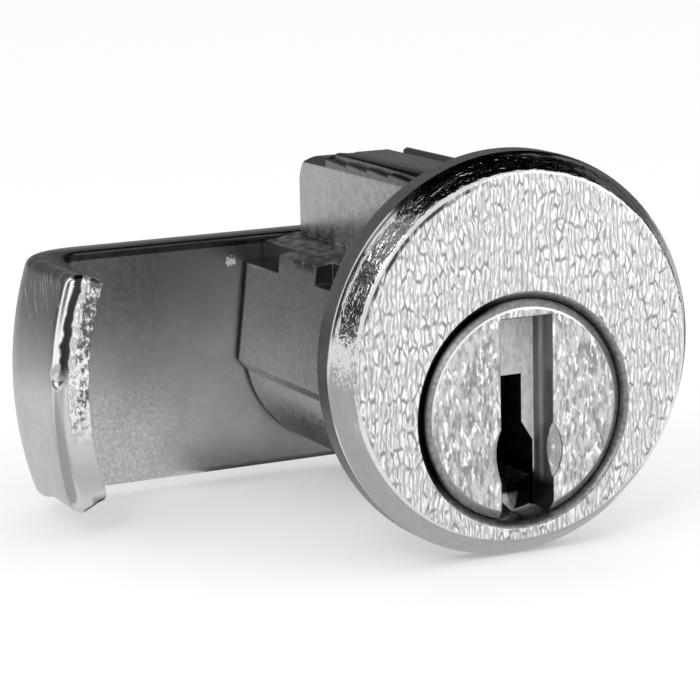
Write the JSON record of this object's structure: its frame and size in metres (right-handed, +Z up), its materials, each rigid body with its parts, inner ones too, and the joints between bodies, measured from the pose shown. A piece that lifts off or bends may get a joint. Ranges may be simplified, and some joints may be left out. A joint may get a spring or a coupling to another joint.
{
  "type": "mailbox lock",
  "caption": "Pin tumbler cam lock for a mailbox door: off-centre round face, barrel with pin tower, and a hooked latch cam that turns a quarter turn.",
  "frame": {"origin": "on the plug's turning axis, in the plane of the face disc's back, which seats on the door", "axes": "+Y along the plug's axis from the face to the cam, +Z up to the pin tower, -X to the cam's hook when locked"},
  "size_m": [0.037, 0.0317, 0.0254],
  "materials": {
    "cast_zinc": "nickel-plated die-cast zinc, satin grained face, smooth rim",
    "plug_zinc": "nickel-plated die-cast zinc, fine vertical grain",
    "strip_steel": "bare steel strip",
    "stop_steel": "zinc-plated steel",
    "cam_steel": "zinc-plated steel, satin, with sheared edges",
    "fastener_steel": "zinc-plated steel",
    "pin_brass": "turned brass",
    "spring_steel": "drawn spring wire"
  },
  "bodies": {
    "housing": {"housing": "cast_zinc", "chamber_cover": "strip_steel", "pin_spring_1": "spring_steel", "pin_spring_2": "spring_steel", "pin_spring_3": "spring_steel", "pin_spring_4": "spring_steel", "pin_spring_5": "spring_steel"},
    "plug": {"plug": "plug_zinc", "stop_washer": "stop_steel", "cam": "cam_steel", "lock_washer": "fastener_steel", "cam_screw": "fastener_steel"},
    "key_pin_1": {"key_pin_1": "pin_brass"},
    "driver_pin_1": {"driver_pin_1": "pin_brass"},
    "key_pin_2": {"key_pin_2": "pin_brass"},
    "driver_pin_2": {"driver_pin_2": "pin_brass"},
    "key_pin_3": {"key_pin_3": "pin_brass"},
    "driver_pin_3": {"driver_pin_3": "pin_brass"},
    "key_pin_4": {"key_pin_4": "pin_brass"},
    "driver_pin_4": {"driver_pin_4": "pin_brass"},
    "key_pin_5": {"key_pin_5": "pin_brass"},
    "driver_pin_5": {"driver_pin_5": "pin_brass"}
  },
  "joints": [
    {"name": "plug_turn", "type": "hinge", "parent": "housing", "child": "plug", "pos_m": [0, 0, 0], "axis": [0, 1, 0], "range_deg": [0, 90]},
    {"name": "key_pin_1_slide", "type": "slide", "parent": "plug", "child": "key_pin_1", "axis": [0, 0, 1], "range_m": [-0.00235, 0]},
    {"name": "driver_pin_1_slide", "type": "slide", "parent": "housing", "child": "driver_pin_1", "axis": [0, 0, 1], "range_m": [-0.00235, 0], "deforming": ["pin_spring_1"]},
    {"name": "key_pin_2_slide", "type": "slide", "parent": "plug", "child": "key_pin_2", "axis": [0, 0, 1], "range_m": [-0.00115, 0]},
    {"name": "driver_pin_2_slide", "type": "slide", "parent": "housing", "child": "driver_pin_2", "axis": [0, 0, 1], "range_m": [-0.00115, 0], "deforming": ["pin_spring_2"]},
    {"name": "key_pin_3_slide", "type": "slide", "parent": "plug", "child": "key_pin_3", "axis": [0, 0, 1], "range_m": [-0.00195, 0]},
    {"name": "driver_pin_3_slide", "type": "slide", "parent": "housing", "child": "driver_pin_3", "axis": [0, 0, 1], "range_m": [-0.00195, 0], "deforming": ["pin_spring_3"]},
    {"name": "key_pin_4_slide", "type": "slide", "parent": "plug", "child": "key_pin_4", "axis": [0, 0, 1], "range_m": [-0.00075, 0]},
    {"name": "driver_pin_4_slide", "type": "slide", "parent": "housing", "child": "driver_pin_4", "axis": [0, 0, 1], "range_m": [-0.00075, 0], "deforming": ["pin_spring_4"]},
    {"name": "key_pin_5_slide", "type": "slide", "parent": "plug", "child": "key_pin_5", "axis": [0, 0, 1], "range_m": [-0.00155, 0]},
    {"name": "driver_pin_5_slide", "type": "slide", "parent": "housing", "child": "driver_pin_5", "axis": [0, 0, 1], "range_m": [-0.00155, 0], "deforming": ["pin_spring_5"]}
  ],
  "couplings": [
    {"joint": "driver_pin_1_slide", "follows": "key_pin_1_slide", "ratio": 1},
    {"joint": "driver_pin_2_slide", "follows": "key_pin_2_slide", "ratio": 1},
    {"joint": "driver_pin_3_slide", "follows": "key_pin_3_slide", "ratio": 1},
    {"joint": "driver_pin_4_slide", "follows": "key_pin_4_slide", "ratio": 1},
    {"joint": "driver_pin_5_slide", "follows": "key_pin_5_slide", "ratio": 1}
  ]
}
